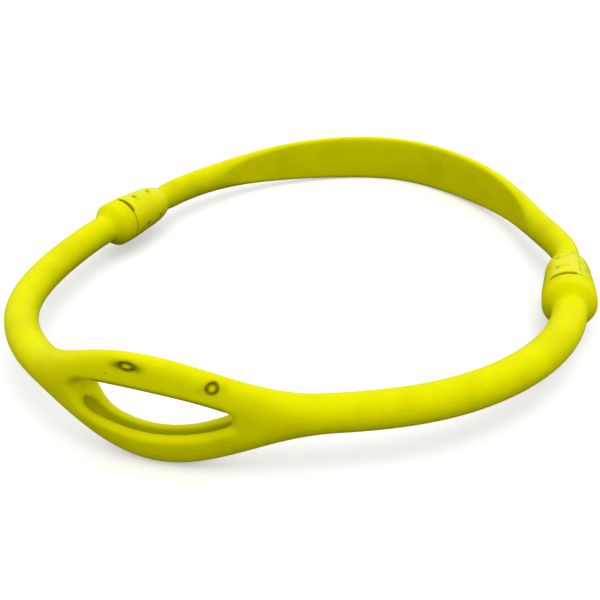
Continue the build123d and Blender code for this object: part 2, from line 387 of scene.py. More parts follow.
def _natural_spline(knots: np.ndarray, values: np.ndarray, at: np.ndarray) -> np.ndarray:
    """Cubic spline through values at knots, with free ends."""
    gaps = np.diff(knots)
    size = len(knots)
    system = np.eye(size)
    right = np.zeros(size)
    for i in range(1, size - 1):
        system[i, i - 1:i + 2] = gaps[i - 1], 2 * (gaps[i - 1] + gaps[i]), gaps[i]
        right[i] = 6 * ((values[i + 1] - values[i]) / gaps[i] - (values[i] - values[i - 1]) / gaps[i - 1])
    bend = np.linalg.solve(system, right)
    i = np.clip(np.searchsorted(knots, at) - 1, 0, size - 2)
    before, after, gap = at - knots[i], knots[i + 1] - at, gaps[i]
    return ((bend[i] * after**3 + bend[i + 1] * before**3) / (6 * gap)
            + (values[i] / gap - bend[i] * gap / 6) * after
            + (values[i + 1] / gap - bend[i + 1] * gap / 6) * before)


# ------------------------------------------------------------------ the front strap


@dataclass
class Disc:
    """Circle through three points of the loop's outer face (along the strap, up)."""

    first: tuple[float, float]
    second: tuple[float, float]
    third: tuple[float, float]

    def __post_init__(self) -> None:
        """Find the centre and the radius."""
        a, b, c = (np.array(point) for point in (self.first, self.second, self.third))
        system = 2 * np.stack([b - a, c - a])
        self.centre = np.linalg.solve(system, [b @ b - a @ a, c @ c - a @ a])
        self.radius = float(np.linalg.norm(a - self.centre))

    def outside(self, u: np.ndarray, z: np.ndarray) -> np.ndarray:
        """Signed distance to the circle, negative inside."""
        return np.hypot(u - self.centre[0], z - self.centre[1]) - self.radius


@dataclass
class Pip:
    """A small moulded vent mark: a dome in a ring-shaped moat on the loop's outer face."""

    along: float
    up: float
    length: float
    height: float
    # strength of the painted shade tail past the pip's ends
    streak: float
    moat: float = 0.42
    depth: float = 0.55
    # the next three set the reach of the pip's painted shade
    moat_spread: float = 0.52
    tail_height: float = 1.1
    tail_length: float = 2.4

    def ring(self, u: np.ndarray, z: np.ndarray) -> np.ndarray:
        """Signed distance across the face to the moat's middle line."""
        level = np.hypot((u - self.along) * 2 / self.length, (z - self.up) * 2 / self.height)
        return (level - 1) * min(self.length, self.height) / 2

    def cut(self, u: np.ndarray, z: np.ndarray, below: np.ndarray) -> np.ndarray:
        """Signed distance of the moat, given the distance below the strap's outer face."""
        return np.hypot(self.ring(u, z), below * self.moat / self.depth) - self.moat

    def shade(self, u: np.ndarray, z: np.ndarray) -> np.ndarray:
        """Painted shade round the pip, from 0 to 1: a dark ring on the moat and a dark tail past each end.
        """
        moat = np.exp(-((self.ring(u, z) / self.moat_spread) ** 2))
        past_end = np.abs(u - self.along) - self.length / 2
        tail = np.exp(-(((z - self.up) / self.tail_height) ** 2) - ((past_end / self.tail_length) ** 2))
        return np.maximum(moat, self.streak * tail * (self.ring(u, z) > 0))


@dataclass
class FrontStrap:
    """Front silicone strap with the mouthpiece loop and a bulb at each end.

    Inside the class u is measured from the loop's centre.
    """

    ring: Ring
    radius: float = 5.3
    loop_rise: float = 17.8
    loop_drop: float = 15.1
    rise_shift: float = -2.6
    loop_half_thickness: float = 4.2
    loop_forward: float = 0.9
    loop_reach: float = 49.0
    loop_squareness: float = 2.6
    hole_top: tuple = ((-15.5, 8.1), (-2.0, 8.8), (22.0, 3.2))
    hole_bottom: tuple = ((21.5, -1.0), (-4.0, -5.4), (-16.5, -3.6))
    hole_left: float = -23.1
    hole_right: float = 22.3
    hole_rounding: float = 2.0
    end_rounding: float = 9.0
    upper_end_rounding: float = 7.0
    tip_rounding: float = 1.5
    end_flare: float = 0.33
    flare_depth: float = 3.0
    bulge: float = 0.6
    bulge_reach: float = 6.0
    bulb_radius: float = 8.4
    bulb_length: float = 5.0
    bulb_blend: float = 4.8
    rim_rounding: float = 1.1
    groove_out: float = 1.6
    groove_radius: float = 1.15
    groove_growth: float = 0.5
    groove_end: float = 21.4
    groove_closes: float = -2.5
    groove_closing: float = 4.0
    groove_closed: float = -0.8
    # the next three set how far the groove's painted shade reaches
    groove_spread: float = 1.2
    groove_spread_growth: float = 0.7
    groove_wall_spread: float = 1.6
    # the next three set the painted shade under the upper lip
    lip_place: float = 0.45
    lip_spread: float = 0.95
    lip_depth: float = 0.75
    widens_from: float = -10.0
    widening: float = 12.0
    collar_radius: float = 4.55
    collar_depth: float = 1.5
    cell: float = 0.56
    pips: tuple = (Pip(-4.2, 15.3, 4.2, 1.7, 0.9), Pip(17.6, 10.9, 2.7, 2.3, 0.3))

    def __post_init__(self) -> None:
        """Keep the route and the hole's outline for every later measure."""
        self.route = self.ring.front()
        self.middle = self.route.nearest(self.ring.loop_centre)
        self.upper = Disc(*self.hole_top)
        self.lower = Disc(*self.hole_bottom)

    def loop_share(self, u: np.ndarray) -> np.ndarray:
        """1 in the middle of the loop, falling to 0 where the plain strap starts."""
        return (1 + np.cos(np.pi * np.minimum(np.abs(u) / self.loop_reach, 1.0))) / 2

    def from_end(self, u: np.ndarray) -> np.ndarray:
        """Distance to the nearer end face, negative beyond it."""
        return np.minimum(self.middle + u, self.route.length - self.middle - u)

    def size(self, u: np.ndarray) -> tuple[np.ndarray, np.ndarray, np.ndarray, np.ndarray]:
        """Rise, drop, half thickness and squareness at a distance from the loop's centre."""
        loop = self.loop_share(u)
        ending = ease((self.bulb_length + self.bulb_blend - self.from_end(u)) / self.bulb_blend)
        grown = (self.bulb_radius - self.radius) * ending
        rise = self.radius + (self.loop_rise - self.radius) * self.loop_share(u - self.rise_shift) + grown
        drop = self.radius + (self.loop_drop - self.radius) * loop + grown
        thickness = self.radius + (self.loop_half_thickness - self.radius) * loop + grown
        return rise, drop, thickness, 2 + (self.loop_squareness - 2) * loop

    def forward(self, u: np.ndarray, z: np.ndarray) -> np.ndarray:
        """How far out the section's middle is: the loop stands forward, its lower strand more so."""
        return self.loop_share(u) * (self.loop_forward + self.bulge * ease(-z / self.bulge_reach))

    def left_share(self, u: np.ndarray) -> np.ndarray:
        """0 along most of the hole, rising to 1 towards its left end."""
        return ease((self.widens_from - u) / self.widening)

    def lower_wall(self, u: np.ndarray, w: np.ndarray, z: np.ndarray) -> np.ndarray:
        """Signed distance to the hole's lower wall and its flared, blunt left end."""
        end = self.hole_left - self.end_flare * np.maximum(w + self.flare_depth, 0.0) - u
        return smooth_max(self.lower.outside(u, z), end, self.end_rounding)

    def hole(self, u: np.ndarray, w: np.ndarray, z: np.ndarray) -> np.ndarray:
        """Signed distance to the mouthpiece hole."""
        left = self.hole_left - self.end_flare * (w + self.flare_depth) - u
        end = smooth_max(self.upper.outside(u, z), left, self.upper_end_rounding)
        lens = np.maximum(end, self.lower_wall(u, w, z))
        return smooth_max(lens, u - self.hole_right, self.tip_rounding)

    def groove(self, u: np.ndarray, w: np.ndarray, z: np.ndarray) -> np.ndarray:
        """Channel along the hole's lower wall, wider towards the left, where it closes upwards."""
        radius = self.groove_radius + self.groove_growth * self.left_share(u)
        closing = ease((z - self.groove_closes) / self.groove_closing)
        radius = radius - (radius - self.groove_closed) * closing
        channel = np.hypot(self.lower_wall(u, w, z), w - self.groove_out) - radius
        return np.maximum(channel, u - self.groove_end)

    def field(self, u: np.ndarray, w: np.ndarray, z: np.ndarray) -> np.ndarray:
        """Signed distance to the strap in straightened space."""
        rise, drop, thickness, squareness = self.size(u)
        body = oval(w - self.forward(u, z), z - (rise - drop) / 2, thickness, (rise + drop) / 2, squareness)
        body = smooth_max(body, -self.hole(u, w, z), self.hole_rounding)
        body = smooth_max(body, -self.groove(u, w, z), 0.6)
        for pip in self.pips:
            body = smooth_max(body, -pip.cut(u, z, np.where(w > 0, body, -9.0)), 0.3)
        body = smooth_max(body, -self.from_end(u), self.rim_rounding)
        collar = np.maximum(np.hypot(w, z) - self.collar_radius, self.from_end(u) - self.collar_depth)
        return smooth_max(body, -collar, 0.2)

    def groove_shade(self, u: np.ndarray, w: np.ndarray, z: np.ndarray) -> np.ndarray:
        """Painted shade along the groove, standing in for its shadow, fading upwards and at its right end.
        """
        spread = self.groove_spread + self.groove_spread_growth * self.left_share(u)
        across = ((w - self.groove_out) / spread) ** 2
        wall = (self.lower_wall(u, w, z) / self.groove_wall_spread) ** 2
        return np.exp(-across - wall) * ease((0.5 - z) / 3.0) * ease((self.groove_end + 0.3 - u) / 0.6)

    def lip_shade(self, u: np.ndarray, w: np.ndarray, z: np.ndarray) -> np.ndarray:
        """Painted shade along the underside of the strand's lip above the hole, on its outer side, where
        shadow falls.
        """
        lip = np.exp(-(((self.upper.outside(u, z) - self.lip_place) / self.lip_spread) ** 2))
        ends = ease((u + 18.0) / 4.0) * ease((22.0 - u) / 3.0)
        return self.lip_depth * lip * ease((w - 1.0) / 1.5) * ends

    def shade(self, u: np.ndarray, w: np.ndarray, z: np.ndarray) -> np.ndarray:
        """Painted shade: darker colour in the groove, round the pips' moats and under the hole's upper lip,
        where shadow falls.
        """
        # depth holds the painted shade, from 0 to 1
        depth = np.maximum(self.groove_shade(u, w, z), self.lip_shade(u, w, z))
        for pip in self.pips:
            depth = np.maximum(depth, pip.shade(u, z) * ease(w + 0.5))
        return depth

    def build(self) -> bpy.types.Object:
        """The finished strap as one closed mesh."""
        reach = self.bulb_radius + 1.0
        low = (-self.middle - 1.0, -reach, -self.loop_drop - 1.0)
        high = (self.route.length - self.middle + 1.0, reach, self.loop_rise + 1.0)
        points, quads = polygonise(self.field, low, high, self.cell)
        # painted shade, kept on the mesh as a point attribute that the material reads
        shade = self.shade(*points.T)
        points[:, 0] += self.middle
        strap = make_object("front_strap_silicone", self.route.bend(points), quads)
        strap.data.attributes.new("shade", "FLOAT", "POINT").data.foreach_set("value", shade)
        return strap


# ------------------------------------------------------------------ the neck band


def input_socket(tree: bpy.types.NodeTree, name: str, kind: str, default: object = None) -> object:
    """Add a named input to a node tree's interface."""
    socket = tree.interface.new_socket(name, in_out="INPUT", socket_type=kind)
    if default is not None:
        socket.default_value = default
    return socket


class NodeBuilder:
    """Short hand for adding nodes to a tree."""

    def __init__(self, tree: bpy.types.NodeTree) -> None:
        """Work on an existing tree."""
        self.tree = tree

    def add(self, kind: str, links: dict | None = None, **settings: object) -> bpy.types.Node:
        """Add a node.

        Args:
            kind: The node's type.
            links: Input name or number to a socket or a constant.
            settings: Node properties.

        Returns:
            The new node.
        """
        node = self.tree.nodes.new(kind)
        for key, value in settings.items():
            setattr(node, key, value)
        for key, value in (links or {}).items():
            if isinstance(value, bpy.types.NodeSocket):
                self.tree.links.new(value, node.inputs[key])
            else:
                node.inputs[key].default_value = value
        return node

    def math(self, operation: str, *values: object, clamp: bool = False) -> bpy.types.NodeSocket:
        """Scalar maths node."""
        links = dict(enumerate(values))
        return self.add("ShaderNodeMath", links, operation=operation, use_clamp=clamp).outputs[0]


class Tree(NodeBuilder):
    """Short hand for building a geometry node tree."""

    def __init__(self, name: str) -> None:
        """Start a tree with a geometry input and output."""
        super().__init__(bpy.data.node_groups.new(name, "GeometryNodeTree"))
        input_socket(self.tree, "Geometry", "NodeSocketGeometry")
        self.tree.interface.new_socket("Geometry", in_out="OUTPUT", socket_type="NodeSocketGeometry")
        self.inputs = self.tree.nodes.new("NodeGroupInput")
        self.output = self.tree.nodes.new("NodeGroupOutput")

    def vector(self, operation: str, *values: object) -> bpy.types.NodeSocket:
        """Vector maths node."""
        output = 1 if operation in {"LENGTH", "DOT_PRODUCT", "DISTANCE"} else 0
        return self.add("ShaderNodeVectorMath", dict(enumerate(values)), operation=operation).outputs[output]

    def scaled(self, vector: object, factor: object) -> bpy.types.NodeSocket:
        """A vector times a number."""
        return self.add("ShaderNodeVectorMath", {0: vector, "Scale": factor}, operation="SCALE").outputs[0]

    def attribute(self, name: str, kind: str = "FLOAT") -> bpy.types.NodeSocket:
        """Read a named attribute."""
        node = self.add("GeometryNodeInputNamedAttribute", {"Name": name}, data_type=kind)
        return node.outputs[0]

    def finish(self, geometry: bpy.types.NodeSocket) -> bpy.types.NodeTree:
        """Realise, set the material and connect the output."""
        real = self.add("GeometryNodeRealizeInstances", {0: geometry}).outputs[0]
        dressed = self.add("GeometryNodeSetMaterial", {0: real, "Material": self.inputs.outputs["Material"]})
        self.tree.links.new(dressed.outputs[0], self.output.inputs[0])
        return self.tree


def apply_tree(target: bpy.types.Object, tree: bpy.types.NodeTree, values: dict, name: str
               ) -> bpy.types.Object:
    """Evaluate a node tree on an object and keep the result as a plain mesh.

    Args:
        target: Object that the tree works on. It is removed afterwards.
        tree: The node tree.
        values: Value of each named input.
        name: Name of the finished object.

    Returns:
        A new object that holds the evaluated mesh.
    """
    modifier = target.modifiers.new("shape", "NODES")
    modifier.node_group = tree
    sockets = {item.name: item.identifier for item in tree.interface.items_tree if item.in_out == "INPUT"}
    for key, value in values.items():
        modifier[sockets[key]] = value
    bpy.context.view_layer.update()
    graph = bpy.context.evaluated_depsgraph_get()
    mesh = bpy.data.meshes.new_from_object(target.evaluated_get(graph))
    mesh.name = name
    bpy.data.objects.remove(target)
    built = bpy.data.objects.new(name, mesh)
    bpy.context.scene.collection.objects.link(built)
    return built


@dataclass
class BandSection:
    """Cross-section of the neck band at a distance from its middle."""

    distance: float
    half_height: float
    outer: float
    squareness: float
    inner_flat: float


@dataclass
class NeckBand:
    """Rear silicone strap: round at the couplers, with a wide band that has a flat inner face."""

    ring: Ring
    material: bpy.types.Material
    sections: tuple = (
        BandSection(0.0, 9.3, 2.0, 3.4, 1.6),
        BandSection(22.0, 9.3, 2.0, 3.4, 1.6),
        BandSection(40.0, 8.9, 2.3, 3.0, 1.6),
        BandSection(56.0, 7.9, 2.9, 2.5, 1.7),
        BandSection(72.0, 6.5, 3.7, 2.2, 2.3),
        BandSection(86.0, 5.6, 4.2, 2.0, 4.4),
        BandSection(100.0, 5.4, 4.25, 2.0, 6.0),
    )
    end_radius: float = 4.3
    end_blend: float = 9.0
    end_rounding: float = 0.6
    edge: float = 0.9
    section_blur: float = 8.0
    spacing: float = 1.0
    around: int = 96

    def tree(self) -> bpy.types.NodeTree:
        """Loft that stands a clipped superellipse across every point of a path."""
        nodes = Tree("band_loft")
        input_socket(nodes.tree, "Around", "NodeSocketInt", 64)
        input_socket(nodes.tree, "Edge", "NodeSocketFloat", 0.001)
        input_socket(nodes.tree, "Material", "NodeSocketMaterial")
        group = nodes.inputs.outputs
        path = nodes.add("GeometryNodeMeshToCurve", {0: group["Geometry"]}).outputs[0]
        profile = nodes.add("GeometryNodeCurvePrimitiveCircle", {"Resolution": group["Around"]}).outputs[0]
        index = nodes.add("GeometryNodeInputIndex").outputs[0]
        turn = nodes.math("MULTIPLY", nodes.math("DIVIDE", index, group["Around"]), 2 * math.pi)
        profile = nodes.add("GeometryNodeStoreNamedAttribute", {
            "Geometry": profile, "Name": "turn", "Value": turn},
            data_type="FLOAT", domain="POINT").outputs[0]
        tube = nodes.add("GeometryNodeCurveToMesh", {0: path, 1: profile, "Fill Caps": True}).outputs[0]
        turn = nodes.attribute("turn")
        power = nodes.math("DIVIDE", 2.0, nodes.attribute("squareness"))
        parts = []
        for wave in ("COSINE", "SINE"):
            value = nodes.math(wave, turn)
            size = nodes.math("POWER", nodes.math("ABSOLUTE", value), power)
            parts.append(nodes.math("MULTIPLY", size, nodes.math("SIGN", value)))
        up = nodes.math("MULTIPLY", parts[0], nodes.attribute("half_height"))
        out = nodes.math("MULTIPLY", parts[1], nodes.attribute("outer"))
        flat = nodes.math("MULTIPLY", nodes.attribute("inner_flat"), -1.0)
        out = nodes.math("SMOOTH_MAX", out, flat, group["Edge"])
        place = nodes.vector("ADD", nodes.attribute("centre", "FLOAT_VECTOR"),
                             nodes.scaled(nodes.attribute("outward", "FLOAT_VECTOR"), out))
        place = nodes.vector("ADD", place, nodes.scaled(nodes.attribute("upward", "FLOAT_VECTOR"), up))
        moved = nodes.add("GeometryNodeSetPosition", {"Geometry": tube, "Position": place}).outputs[0]
        smooth = nodes.add("GeometryNodeSetShadeSmooth", {"Geometry": moved, "Shade Smooth": True})
        return nodes.finish(smooth.outputs[0])

    def sizes(self, distance: np.ndarray, length: float) -> dict[str, np.ndarray]:
        """Section sizes in metres at distances along the path."""
        middle = np.abs(distance - length / 2)
        end = np.minimum(distance, length - distance)
        knots = np.array([section.distance for section in self.sections])
        names = ("half_height", "outer", "squareness", "inner_flat")
        blur = np.linspace(-self.section_blur, self.section_blur, 17)
        sizes = {}
        for name in names:
            values = np.array([getattr(section, name) for section in self.sections])
            nearby = [np.interp(np.abs(middle + shift), knots, values) for shift in blur]
            sizes[name] = np.mean(nearby, axis=0)
        ending = ease(1 - end / self.end_blend)
        closing = np.sqrt(np.clip(1 - (1 - np.minimum(end / self.end_rounding, 1.0)) ** 2, 0.0, 1.0))
        trim = self.end_rounding * (1 - closing)
        for name in ("half_height", "outer"):
            round_off = self.end_radius - trim
            sizes[name] = (sizes[name] + (round_off - sizes[name]) * ending) * MM
        sizes["squareness"] = sizes["squareness"] + (2.0 - sizes["squareness"]) * ending
        sizes["inner_flat"] = sizes["inner_flat"] * MM
        return sizes

    def build(self) -> bpy.types.Object:
        """The finished neck band."""
        route = self.ring.rear()
        ends = np.array([0.0, 0.08, 0.2, 0.36, 0.6])
        inner = np.linspace(1.0, route.length - 1.0, int(route.length / self.spacing))
        distance = np.concatenate([ends, inner, route.length - ends[::-1]])
        count = len(distance)
        straight = np.zeros((count, 3))
        straight[:, 0] = distance
        centre = route.bend(straight)
        outward = route.bend(straight + np.array([0.0, 1.0, 0.0])) - centre
        upward = route.bend(straight + np.array([0.0, 0.0, 1.0])) - centre
        mesh = bpy.data.meshes.new("band_path")
        mesh.from_pydata(centre.tolist(), [(i, i + 1) for i in range(count - 1)], [])
        for name, values in self.sizes(distance, route.length).items():
            mesh.attributes.new(name, "FLOAT", "POINT").data.foreach_set("value", values)
        for name, values in (("centre", centre), ("outward", outward / MM), ("upward", upward / MM)):
            mesh.attributes.new(name, "FLOAT_VECTOR", "POINT").data.foreach_set("vector", values.ravel())
        path = bpy.data.objects.new("band_path", mesh)
        bpy.context.scene.collection.objects.link(path)
        values = {"Around": self.around, "Edge": self.edge * MM, "Material": self.material}
        return apply_tree(path, self.tree(), values, "neck_band_silicone")


# ------------------------------------------------------------------ the couplers


@dataclass
class Shells:
    """The two half shells of a coupler's barrel, with cavities, weld bead and grip notches."""

    place: CouplerPlace
    material: bpy.types.Material
    rim_gap: float = 0.5
    length: float = 21.0
    radius: float = 8.4
    waist_radius: float = 7.4
    waist: float = 12.4
    end_radius: float = 5.4
    mouth_radius: float = 5.6
    throat_radius: float = 3.9
    throat: float = 5.8
    ring_end: float = 8.2
    ring_radius: float = 4.6
    chamber_radius: float = 3.1
    chamber_end: float = 12.6
    flange_radius: float = 5.0
    flange_start: float = 13.5
    flange_end: float = 16.1
    neck_radius: float = 2.25
    socket_start: float = 18.0
    socket_radius: float = 4.65
    seam_angle: float = 20.0
    shoulder_drop: float = 0.3
    rim_rounding: float = 0.7
    end_rounding: float = 0.5
    cavity_rounding: float = 0.3
    seam_rounding: float = 0.12
    seam_gap: float = 0.04
    bead_height: float = 0.28
    bead_width: float = 0.36
    slot_from: float = -56.0
    slot_to: float = 15.0
    slot_width: float = 0.65
    # strength of the painted shade in the release slot
    slot_shade: float = 0.75
    notch_angle: float = 40.0
    notch_places: tuple[float, float] = (6.5, 14.2)
    notch_radius: float = 1.1
    notch_lift: float = 0.15
    notch_length: float = 3.4
    cell: float = 0.32

    def outer_radius(self, along: np.ndarray) -> np.ndarray:
        """Radius of the tapered barrel with its rounded shoulder."""
        narrowing = (self.waist_radius - self.radius) * (along - self.rim_gap)
        taper = self.radius + narrowing / (self.waist - self.rim_gap)
        shoulder = np.clip((along - self.waist) / (self.length - self.waist), 0.0, 1.0)
        at_waist = self.waist_radius - self.shoulder_drop * shoulder
        closing = self.waist_radius - self.shoulder_drop - self.end_radius
        return np.where(along < self.waist, taper, at_waist - closing * shoulder**2)

    def slot_share(self, x: np.ndarray, y: np.ndarray) -> np.ndarray:
        """1 where the rim is cut back for a release tool, on top towards the ring's inside."""
        angle = np.degrees(np.arctan2(y * self.place.side.value, x))
        return ease((angle - self.slot_from) / 9.0) * ease((self.slot_to - angle) / 6.0)

    def shade(self, points: np.ndarray) -> np.ndarray:
        """Painted shade in the release slot, where the rim is cut back."""
        x, y, s = points.T
        rim = self.rim_gap + self.slot_width
        return self.slot_shade * self.slot_share(x, y) * ease((rim + 0.35 - s) / 0.5)

    def seam_normal(self) -> np.ndarray:
        """Direction across the seam, towards the outer half, in the coupler's frame."""
        lean = math.radians(self.seam_angle)
        return np.array([-math.sin(lean), self.place.side.value * math.cos(lean), 0.0])

    def field(self, outer_half: bool) -> Field:
        """Signed distance to one half shell in the coupler's frame."""
        normal = self.seam_normal() * (1 if outer_half else -1)

        def shape(x: np.ndarray, y: np.ndarray, s: np.ndarray) -> np.ndarray:
            r = np.hypot(x, y)
            across = x * normal[0] + y * normal[1]
            bead = self.bead_height * np.exp(-((across / self.bead_width) ** 2))
            bead = bead * ease((s - 1.2) / 1.0) * ease((self.length - 0.6 - s) / 1.5)
            rim = self.rim_gap + self.slot_width * self.slot_share(x, y)
            body = smooth_max(r - self.outer_radius(s) - bead, rim - s, self.rim_rounding)
            body = smooth_max(body, s - self.length, self.end_rounding)
            mouth = self.mouth_radius + (self.throat_radius - self.mouth_radius) * (s - self.rim_gap) / (
                self.throat - self.rim_gap)
            cavity = np.maximum(r - mouth, s - self.throat)
            for radius, start, end in (
                (self.ring_radius, self.throat, self.ring_end),
                (self.chamber_radius, self.throat, self.chamber_end),
                (self.flange_radius, self.flange_start, self.flange_end),
                (self.neck_radius, self.flange_start, self.length),
                (self.socket_radius, self.socket_start, self.length + 1.0),
            ):
                cavity = np.minimum(cavity, np.maximum(r - radius, np.maximum(start - s, s - end)))
            body = smooth_max(body, -cavity, self.cavity_rounding)
            return smooth_max(body, self.seam_gap - across, self.seam_rounding)

        return shape

    def notch_tree(self) -> bpy.types.NodeTree:
        """Press rows of short bars into the surface: lens-shaped notches, with painted shade at one end of
        each.
        """
        nodes = Tree(f"{self.place.side.word}_grip_notches")
        for name, kind in (("Lift", "NodeSocketFloat"), ("Bar Length", "NodeSocketFloat"),
                           ("Bar Radius", "NodeSocketFloat"), ("First", "NodeSocketVector"),
                           ("Pitch", "NodeSocketVector"), ("Rows", "NodeSocketInt"),
                           ("Location", "NodeSocketVector"), ("Rotation", "NodeSocketRotation"),
                           ("Row Start", "NodeSocketFloat"), ("Material", "NodeSocketMaterial")):
            input_socket(nodes.tree, name, kind)
        group = nodes.inputs.outputs
        half = nodes.math("MULTIPLY", group["Bar Length"], -0.5)
        start = nodes.add("ShaderNodeCombineXYZ", {0: group["Lift"], 1: half, 2: 0.0}).outputs[0]
        run = nodes.add("ShaderNodeCombineXYZ", {0: 0.0, 1: group["Bar Length"], 2: 0.0}).outputs[0]
        bar = nodes.add("GeometryNodeMeshLine", {"Count": 2, "Start Location": start, "Offset": run},
                        mode="OFFSET").outputs[0]
        bars = self.rows(nodes, bar)
        near = nodes.add("GeometryNodeProximity", {0: bars}, target_element="EDGES").outputs["Distance"]
        depth = nodes.math("MAXIMUM", nodes.math("SUBTRACT", group["Bar Radius"], near), 0.0)
        # painted shade near one end of each notch, kept together with the slot's painted shade
        tip = nodes.add("GeometryNodeMeshLine", {"Count": 1, "Start Location": start}, mode="OFFSET")
        tips = self.rows(nodes, tip.outputs[0])
        end = nodes.add("GeometryNodeProximity", {0: tips}, target_element="POINTS").outputs["Distance"]
        painted_pit_shade = nodes.math("SUBTRACT", 1.15, nodes.math("DIVIDE", end, group["Bar Radius"]))
        painted_pit_shade = nodes.math("MAXIMUM", painted_pit_shade, nodes.attribute("shade"))
        shaded = nodes.add("GeometryNodeStoreNamedAttribute", {
            "Geometry": group["Geometry"], "Name": "shade", "Value": painted_pit_shade}, data_type="FLOAT",
            domain="POINT").outputs[0]
        normal = nodes.add("GeometryNodeInputNormal").outputs[0]
        offset = nodes.scaled(normal, nodes.math("MULTIPLY", depth, -1.0))
        pressed = nodes.add("GeometryNodeSetPosition", {"Geometry": shaded, "Offset": offset}).outputs[0]
        return nodes.finish(pressed)

    def rows(self, nodes: Tree, bar: bpy.types.NodeSocket) -> bpy.types.NodeSocket:
        """Stand a bar at both notch places in every row round the barrel."""
        group = nodes.inputs.outputs
        places = nodes.add("GeometryNodeMeshLine", {
            "Count": 2, "Start Location": group["First"], "Offset": group["Pitch"]},
            mode="OFFSET").outputs[0]
        row = nodes.add("GeometryNodeInstanceOnPoints", {"Points": places, "Instance": bar}).outputs[0]
        row = nodes.add("GeometryNodeRealizeInstances", {0: row}).outputs[0]
        row = nodes.add("GeometryNodeGeometryToInstance", {0: row}).outputs[0]
        copies = nodes.add("GeometryNodeDuplicateElements", {
            "Geometry": row, "Amount": group["Rows"]}, domain="INSTANCE")
        number = copies.outputs["Duplicate Index"]
        pair = nodes.math("FLOOR", nodes.math("DIVIDE", number, 2.0))
        odd = nodes.math("MODULO", number, 2.0)
        spread = nodes.math("MULTIPLY", nodes.math("SUBTRACT", odd, 0.5), math.radians(2 * self.notch_angle))
        angle = nodes.math("ADD", nodes.math("MULTIPLY", pair, math.pi), spread)
        angle = nodes.math("ADD", angle, group["Row Start"])
        turn = nodes.add("ShaderNodeCombineXYZ", {0: 0.0, 1: 0.0, 2: angle}).outputs[0]
        turned = nodes.add("GeometryNodeRotateInstances", {
            "Instances": copies.outputs[0], "Rotation": turn, "Local Space": False}).outputs[0]
        bars = nodes.add("GeometryNodeRealizeInstances", {0: turned}).outputs[0]
        return nodes.add("GeometryNodeTransform", {
            "Geometry": bars, "Translation": group["Location"], "Rotation": group["Rotation"]}).outputs[0]

    def notched(self, plain: bpy.types.Object, name: str) -> bpy.types.Object:
        """One half shell with its grip notches pressed in."""
        first, last = self.notch_places
        shrink = float(self.outer_radius(np.array(last)) - self.outer_radius(np.array(first)))
        rotation = Matrix(self.place.matrix.tolist()).to_euler()
        values = {
            "Lift": (float(self.outer_radius(np.array(first))) + self.notch_lift) * MM,
            "Bar Length": self.notch_length * MM,
            "Bar Radius": self.notch_radius * MM,
            "First": (0.0, 0.0, first * MM),
            "Pitch": (shrink * MM, 0.0, (last - first) * MM),
            "Rows": 4,
            "Location": tuple(self.place.origin),
            "Rotation": tuple(rotation),
            "Row Start": self.place.side.value * math.radians(self.seam_angle),
            "Material": self.material,
        }
        return apply_tree(plain, self.notch_tree(), values, name)

    def build(self) -> dict[str, bpy.types.Object]:
        """Both half shells by the part of the name that tells them apart."""
        reach = self.radius + 1.0
        halves = {}
        for word, outer_half in (("outer", True), ("inner", False)):
            points, quads = polygonise(self.field(outer_half), (-reach, -reach, -0.5),
                                       (reach, reach, self.length + 1.0), self.cell)
            name = f"{self.place.side.word}_{word}_half_shell"
            plain = make_object(name + "_plain", self.place.place(points), quads)
            # painted shade in the release slot, kept on the mesh
            shade = plain.data.attributes.new("shade", "FLOAT", "POINT")
            shade.data.foreach_set("value", self.shade(points))
            halves[word] = self.notched(plain, name)
        return halves


@dataclass
class Turned:
    """A piece turned about a coupler's axis, from profile points with rounded corners."""

    place: CouplerPlace
    name: str
    profile: tuple
    rounding: float = 0.25
    steps: int = 72

    def outline(self) -> np.ndarray:
        """Profile with each corner replaced by a short arc."""
        points = np.array(self.profile, dtype=float)
        rounded = [points[0]]
        for before, corner, after in zip(points, points[1:], points[2:]):
            towards, away = before - corner, after - corner
            reach = min(self.rounding, 0.45 * np.linalg.norm(towards), 0.45 * np.linalg.norm(away))
            first = corner + towards / np.linalg.norm(towards) * reach
            last = corner + away / np.linalg.norm(away) * reach
            for share in np.linspace(0.0, 1.0, 5):
                rounded.append((1 - share) ** 2 * first + 2 * share * (1 - share) * corner + share**2 * last)
        rounded.append(points[-1])
        return np.array(rounded)

    def build(self) -> bpy.types.Object:
        """Closed mesh of the turned piece, its profile running from pole to pole."""
        outline = self.outline()
        inner = outline[1:-1]
        angles = np.arange(self.steps) * 2 * math.pi / self.steps
        wheel = np.stack([np.cos(angles), np.sin(angles)], axis=1)
        points = [[0.0, 0.0, outline[0, 1]]]
        for radius, along in inner:
            points += [[radius * x, radius * y, along] for x, y in wheel]
        points.append([0.0, 0.0, outline[-1, 1]])
        last = len(points) - 1
        faces = []
        for row in range(len(inner) - 1):
            for i in range(self.steps):
                j = (i + 1) % self.steps
                a, b = 1 + row * self.steps, 1 + (row + 1) * self.steps
                faces.append([a + i, a + j, b + j, b + i])
        for i in range(self.steps):
            j = (i + 1) % self.steps
            faces.append([0, 1 + j, 1 + i])
            faces.append([last, last - self.steps + i, last - self.steps + j])
        return make_object(self.name, self.place.place(np.array(points)), faces)


BARB_PITCH = 3.0
BARBS = 3


def barbed_root(start: float, direction: float, root: float, barb: float) -> list[tuple[float, float]]:
    """Profile of a barbed root, from its tip back to its start."""
    points = []
    for index in range(BARBS, 0, -1):
        far = start + direction * BARB_PITCH * index
        near = start + direction * BARB_PITCH * (index - 0.5)
        points += [(root, far), (barb, near), (root, near)]
    return points


